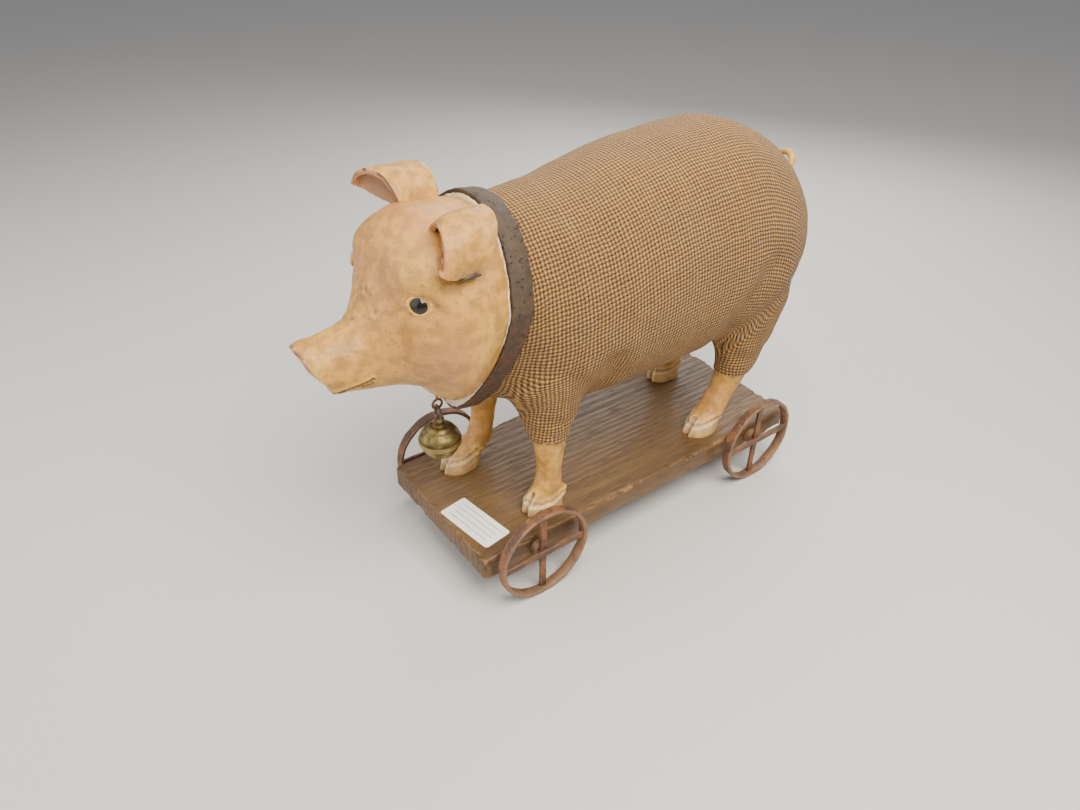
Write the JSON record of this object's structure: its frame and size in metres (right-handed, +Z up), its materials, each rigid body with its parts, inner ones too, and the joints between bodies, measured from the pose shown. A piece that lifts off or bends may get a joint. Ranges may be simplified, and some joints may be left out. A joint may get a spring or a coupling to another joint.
{
  "type": "wheeled pig figure",
  "caption": "Cast pig figure in a burlap jacket with a strap collar and jingle bell, standing on a worn wooden board that rolls on iron hoop wheels with crossed flat spokes.",
  "frame": {"origin": "on the floor under the middle of the whole object's box", "axes": "+X the way the pig faces, +Y the pig's left, +Z up"},
  "size_m": [0.2886, 0.1026, 0.1964],
  "materials": {
    "worn_wood": "worn, waxed, lengthwise grain",
    "rusty_iron": "brown rusted flat strip",
    "screw_steel": "zinc plated, dulled",
    "label_paper": "satin sticker",
    "cast_resin": "unpainted casting under the burlap",
    "painted_resin": "hand painted, mottled, satin",
    "eye_glass": "glossy black bead",
    "burlap": "coarse plain weave",
    "worn_leather": "worn, dark, pitted",
    "hanging_wire": "dark tarnished wire",
    "aged_brass": "aged, tarnished"
  },
  "bodies": {
    "figure": {"board": "worn_wood", "hoof_screws": "screw_steel", "label": "label_paper", "torso": "cast_resin", "burlap_jacket": "burlap", "head": "painted_resin", "snout": "painted_resin", "left_eye": "eye_glass", "right_eye": "eye_glass", "left_ear": "painted_resin", "right_ear": "painted_resin", "tail": "painted_resin", "collar": "worn_leather", "throat_eye": "hanging_wire", "front_left_leg": "painted_resin", "front_left_sleeve": "burlap", "front_right_leg": "painted_resin", "front_right_sleeve": "burlap", "hind_left_leg": "painted_resin", "hind_left_sleeve": "burlap", "hind_right_leg": "painted_resin", "hind_right_sleeve": "burlap"},
    "front_wheels": {"front_axle": "rusty_iron", "front_left_rim": "rusty_iron", "front_left_upright_spoke": "rusty_iron", "front_left_level_spoke": "rusty_iron", "front_left_spacer": "rusty_iron", "front_right_rim": "rusty_iron", "front_right_upright_spoke": "rusty_iron", "front_right_level_spoke": "rusty_iron", "front_right_spacer": "rusty_iron"},
    "rear_wheels": {"rear_axle": "rusty_iron", "rear_left_rim": "rusty_iron", "rear_left_upright_spoke": "rusty_iron", "rear_left_level_spoke": "rusty_iron", "rear_left_spacer": "rusty_iron", "rear_right_rim": "rusty_iron", "rear_right_upright_spoke": "rusty_iron", "rear_right_level_spoke": "rusty_iron", "rear_right_spacer": "rusty_iron"},
    "link": {"bell_link": "hanging_wire"},
    "bell": {"bell_loop": "aged_brass", "bell_upper_shell": "aged_brass", "bell_lower_shell": "aged_brass"},
    "pellet": {"bell_pellet": "screw_steel"}
  },
  "joints": [
    {"name": "front_wheels_roll", "type": "hinge", "parent": "figure", "child": "front_wheels", "pos_m": [0.05813, 0, 0.025], "axis": [0, 1, 0], "continuous": true},
    {"name": "rear_wheels_roll", "type": "hinge", "parent": "figure", "child": "rear_wheels", "pos_m": [-0.09187, 0, 0.025], "axis": [0, 1, 0], "continuous": true},
    {"name": "link_swing", "type": "hinge", "parent": "figure", "child": "link", "pos_m": [0.08293, 0, 0.09246], "axis": [0, 1, 0], "range_deg": [-40, 25]},
    {"name": "bell_swing", "type": "hinge", "parent": "link", "child": "bell", "pos_m": [0.08293, 0, 0.08676], "axis": [1, 0, 0], "range_deg": [-30, 30]},
    {"name": "pellet_bounce", "type": "slide", "parent": "bell", "child": "pellet", "axis": [0, 0, 1], "range_m": [0, 0.006]}
  ]
}
